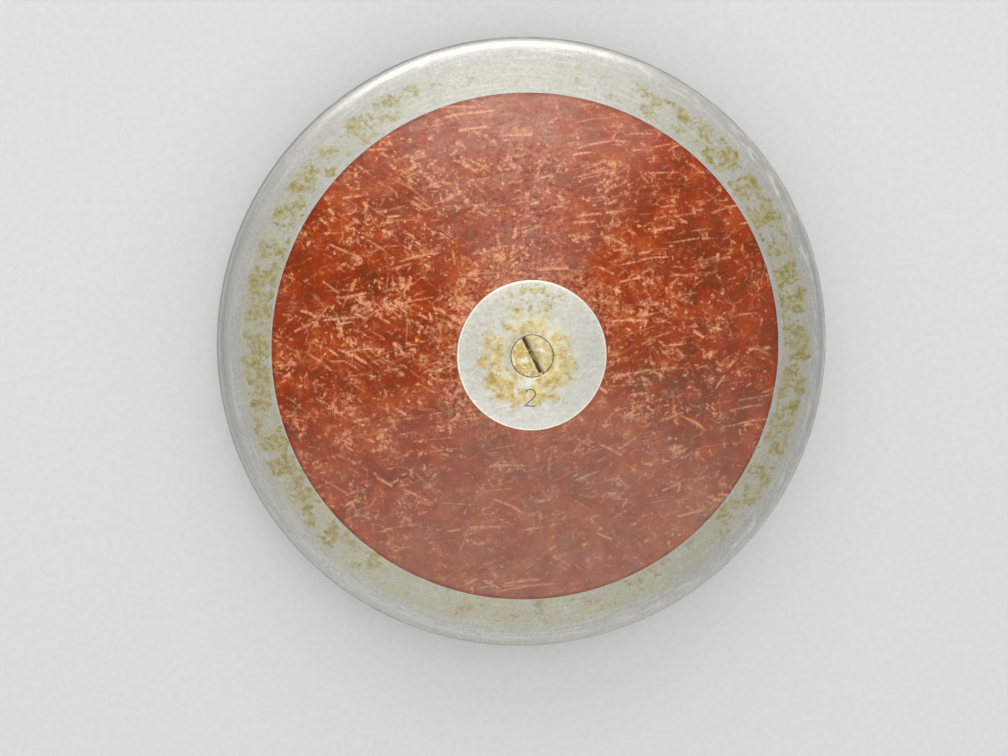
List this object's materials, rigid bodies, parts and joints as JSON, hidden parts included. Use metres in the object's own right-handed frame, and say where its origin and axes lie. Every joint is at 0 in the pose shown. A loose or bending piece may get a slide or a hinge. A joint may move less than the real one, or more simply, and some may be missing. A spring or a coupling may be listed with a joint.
{
  "type": "discus",
  "caption": "Throwing discus of turned red-lacquered wood in a zinc-plated steel rim, with a steel centre plate on each side held by a slotted countersunk screw.",
  "frame": {"origin": "middle of the rear centre plate's outer face, on which the discus rests", "axes": "+Z along the axis of the discus, from the rear plate to the front plate; +X and +Y across it, with +Y towards the top of the picture and +X towards its right"},
  "size_m": [0.22, 0.22, 0.045],
  "materials": {
    "zinc_plated_rim": "satin zinc plate over turned steel, with islands of worn yellow passivation",
    "red_lacquered_beech": "gloss brick-red lacquer, worn and scratched",
    "zinc_plated_plate": "satin zinc plate over turned steel, bright where it is rubbed",
    "yellow_zinc_screw": "yellow-passivated zinc, worn",
    "plain_steel": "plain turned steel",
    "bare_beech": "bare turned beech"
  },
  "bodies": {
    "root": {"rim": "zinc_plated_rim", "front_wood_side": "red_lacquered_beech", "rear_wood_side": "red_lacquered_beech", "front_centre_plate": "zinc_plated_plate", "rear_centre_plate": "zinc_plated_plate", "front_centre_screw": "yellow_zinc_screw", "rear_centre_screw": "yellow_zinc_screw", "front_trim_washer": "plain_steel", "rear_trim_washer": "plain_steel", "centre_sleeve": "plain_steel", "dowel_1": "bare_beech", "dowel_2": "bare_beech", "dowel_3": "bare_beech", "dowel_4": "bare_beech", "dowel_5": "bare_beech", "dowel_6": "bare_beech"}
  },
  "joints": []
}
